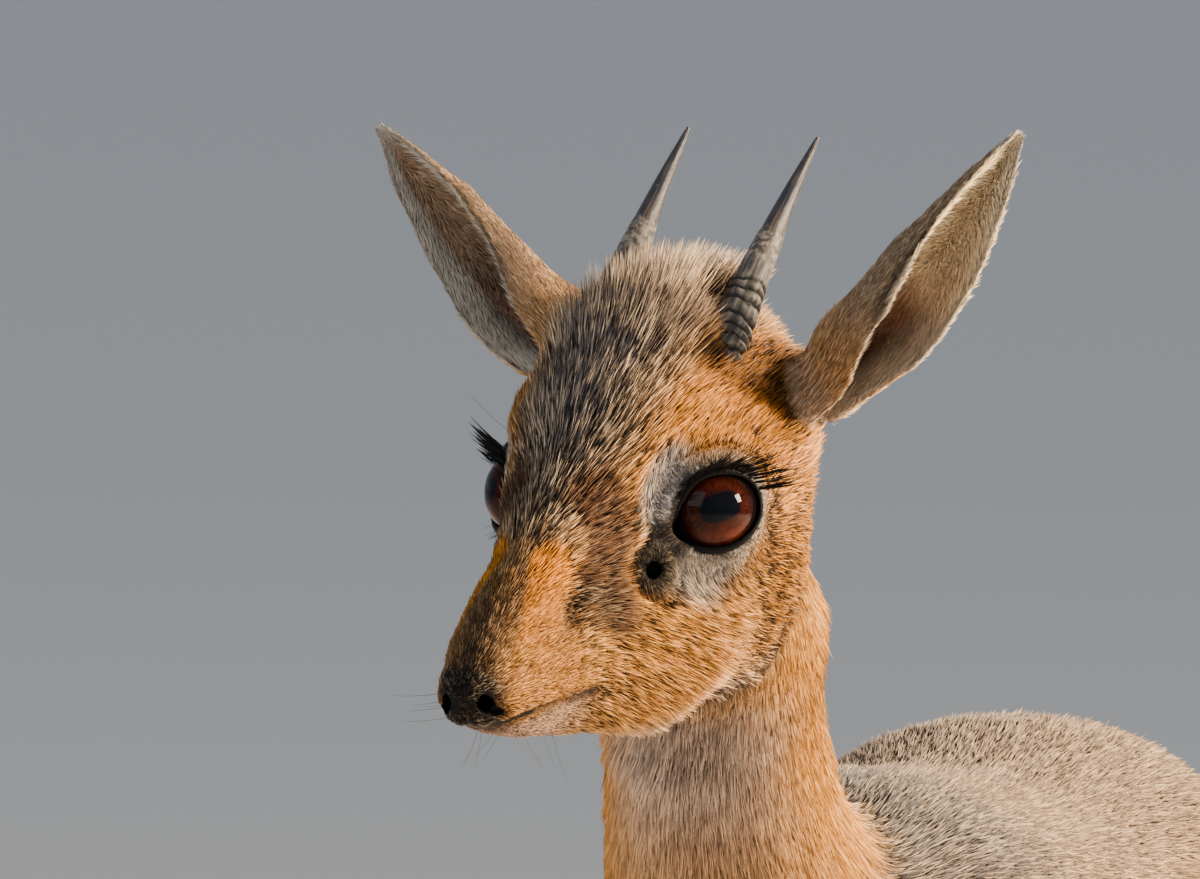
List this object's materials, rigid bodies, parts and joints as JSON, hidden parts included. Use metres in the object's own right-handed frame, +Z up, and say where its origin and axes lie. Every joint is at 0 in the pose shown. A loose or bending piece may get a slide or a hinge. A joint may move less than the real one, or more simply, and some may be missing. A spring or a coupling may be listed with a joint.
{
  "type": "dik-dik",
  "caption": "Life-size standing dik-dik, a small antelope ram: slim legs, wedge head turned to one side, large eyes and ears, short ringed horns, crest of long hair.",
  "frame": {"origin": "middle of the animal's bounding box at floor level, between the soles", "axes": "+Z up, -Y the way the body faces, +X the animal's own left"},
  "size_m": [0.1624, 0.489, 0.5381],
  "materials": {
    "coat": "short fur",
    "ear": "thin skin with short fur",
    "horn": "horn, ridged below and smooth at the tip",
    "hoof": "dark horn",
    "eye": "wet, glossy"
  },
  "bodies": {
    "root": {"torso": "coat", "neck": "coat", "head": "coat", "tail": "coat", "ear_left": "ear", "ear_right": "ear", "horn_left": "horn", "horn_right": "horn", "eye_left": "eye", "eye_right": "eye", "foreleg_left_upper": "coat", "foreleg_left_lower": "coat", "foreleg_left_hoof_a": "hoof", "foreleg_left_hoof_b": "hoof", "foreleg_right_upper": "coat", "foreleg_right_lower": "coat", "foreleg_right_hoof_a": "hoof", "foreleg_right_hoof_b": "hoof", "hindleg_left_upper": "coat", "hindleg_left_lower": "coat", "hindleg_left_hoof_a": "hoof", "hindleg_left_hoof_b": "hoof", "hindleg_right_upper": "coat", "hindleg_right_lower": "coat", "hindleg_right_hoof_a": "hoof", "hindleg_right_hoof_b": "hoof"}
  },
  "joints": []
}
